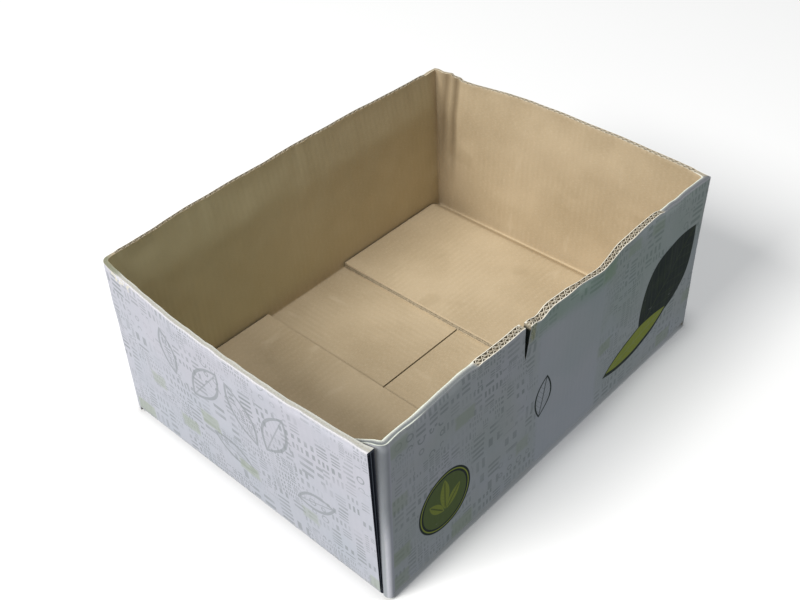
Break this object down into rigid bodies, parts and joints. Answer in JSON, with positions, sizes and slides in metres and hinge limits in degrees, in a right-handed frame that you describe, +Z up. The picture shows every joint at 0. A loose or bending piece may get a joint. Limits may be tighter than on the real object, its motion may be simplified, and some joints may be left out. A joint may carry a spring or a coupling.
{
  "type": "open tray box",
  "caption": "Low open-topped packing box folded from one sheet of thick corrugated board, with bowed walls, a lapped glued corner and a torn rim.",
  "frame": {"origin": "on the ground under the middle of the box's bounding box", "axes": "+X along the long walls towards the far short wall, +Y across from the printed near long wall towards the other long wall, +Z up out of the opening"},
  "size_m": [0.4164, 0.303, 0.16],
  "materials": {
    "board": "matte paper liner, printed outside"
  },
  "bodies": {
    "root": {"folded_box": "board"}
  },
  "joints": []
}
